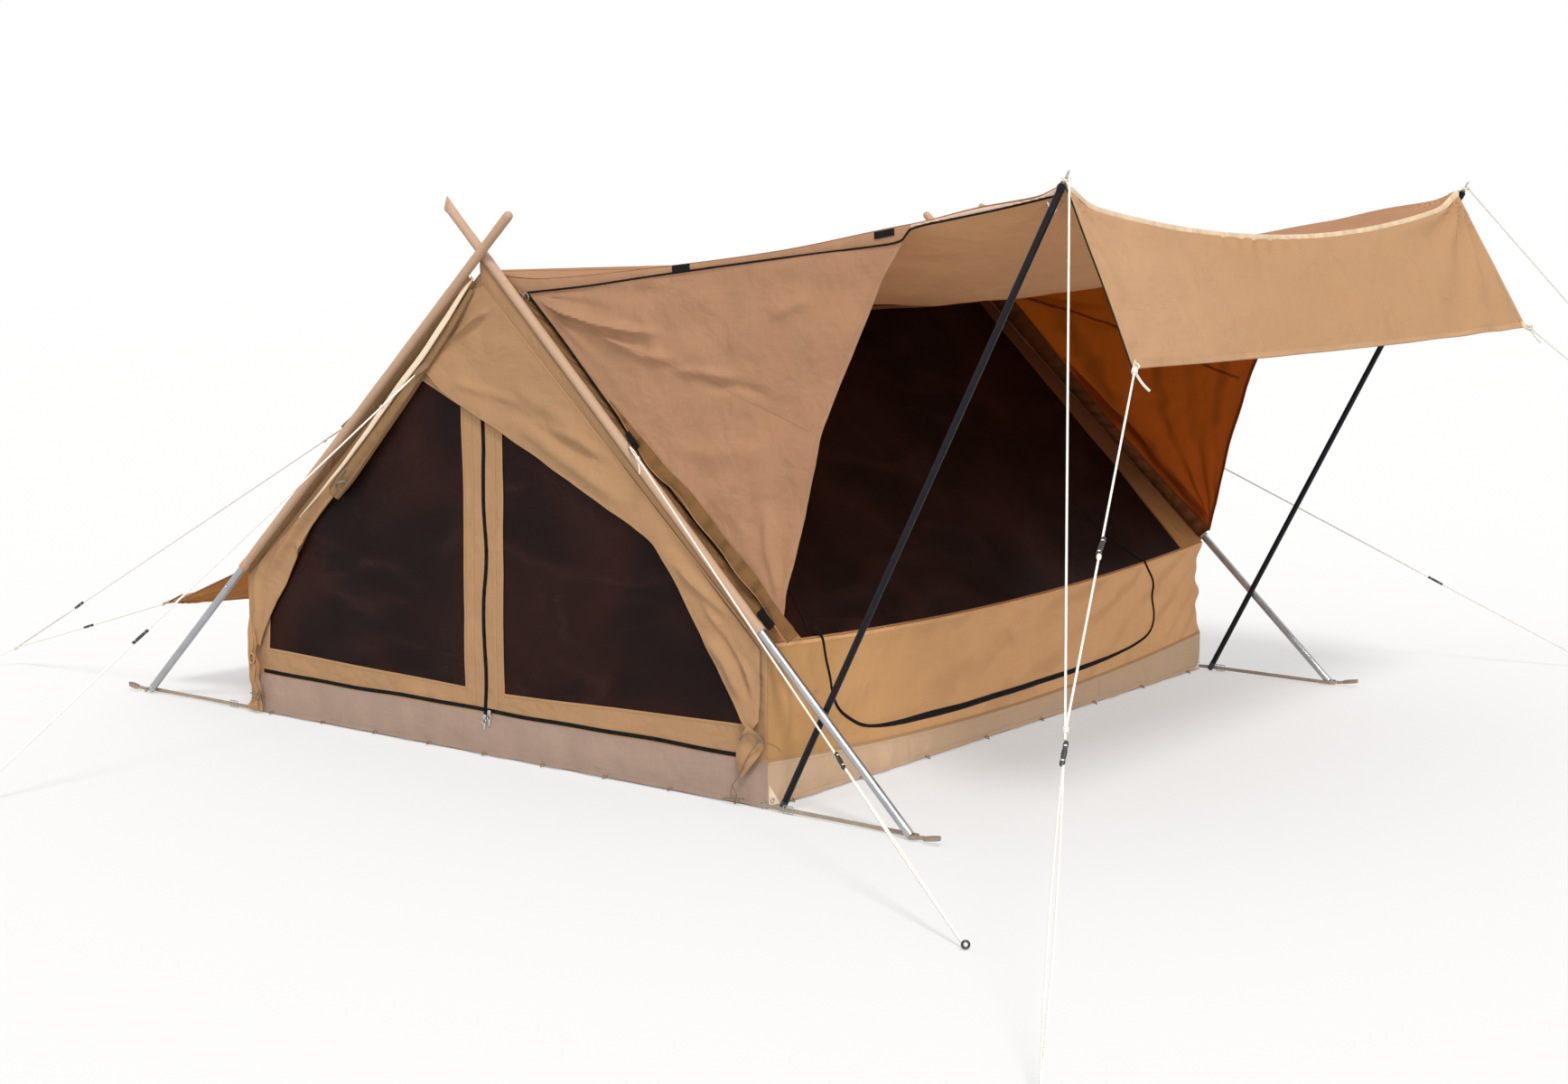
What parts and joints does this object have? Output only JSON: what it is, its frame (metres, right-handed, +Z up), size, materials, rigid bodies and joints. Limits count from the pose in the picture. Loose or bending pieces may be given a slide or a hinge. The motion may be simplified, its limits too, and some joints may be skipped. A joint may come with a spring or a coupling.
{
  "type": "camping tent",
  "caption": "Ridge tent of tan cotton cloth with crossed silver end frames, mesh doors, a sagging front awning on black poles, and guy ropes.",
  "frame": {"origin": "centre of the floor's underside, at ground level", "axes": "+Z up; the ridge runs along X, with the open, meshed gable at -X; the awning faces -Y"},
  "size_m": [6.17, 5.6186, 1.8343],
  "materials": {
    "canvas_tan": "matt woven cotton, tan",
    "canvas_fly": "matt woven cotton, ochre",
    "canvas_skirt": "coated cloth, brown",
    "mesh_dark": "fine dark insect mesh",
    "groundsheet_brown": "coated groundsheet, brown",
    "zip_black": "black coil zip on tape",
    "tube_silver": "drawn tube, satin",
    "pole_black": "black coated tube, semi-gloss",
    "webbing_brown": "woven webbing",
    "rope_white": "laid cord, off-white"
  },
  "bodies": {
    "root": {"groundsheet": "groundsheet_brown", "skirt_front": "canvas_skirt", "skirt_back": "canvas_skirt", "skirt_left_gable": "canvas_skirt", "skirt_right_gable": "canvas_skirt", "front_wall": "canvas_tan", "back_wall": "canvas_tan", "front_roof_border": "canvas_tan", "front_roof_mesh": "mesh_dark", "back_roof_border": "canvas_tan", "back_roof_mesh": "mesh_dark", "left_gable_panel": "canvas_tan", "left_gable_mesh_back": "mesh_dark", "left_gable_mesh_front": "mesh_dark", "left_door_zip": "zip_black", "left_door_flap": "canvas_tan", "left_door_roll": "canvas_tan", "right_gable_panel": "canvas_tan", "right_door_zip": "zip_black", "front_door_zip": "zip_black", "frame_pole_front_left": "tube_silver", "frame_pole_back_left": "tube_silver", "frame_pole_front_right": "tube_silver", "frame_pole_back_right": "tube_silver", "sleeve_front_left": "canvas_tan", "sleeve_back_left": "canvas_tan", "sleeve_front_right": "canvas_tan", "sleeve_back_right": "canvas_tan", "awning_pole_left": "pole_black", "awning_pole_right": "pole_black", "awning_roof": "canvas_fly", "awning_drop_panel": "canvas_fly", "fly_back": "canvas_fly", "awning_side_left": "canvas_tan", "awning_side_right": "canvas_tan", "strap_front_left": "webbing_brown", "strap_back_left": "webbing_brown", "strap_front_right": "webbing_brown", "strap_back_right": "webbing_brown", "guy_awning_left": "rope_white", "guy_awning_right": "rope_white", "guy_frame_front_left": "rope_white", "guy_frame_front_right": "rope_white", "guy_frame_back_left": "rope_white", "guy_frame_back_right": "rope_white", "guy_fly_left": "rope_white", "guy_fly_right": "rope_white"}
  },
  "joints": []
}
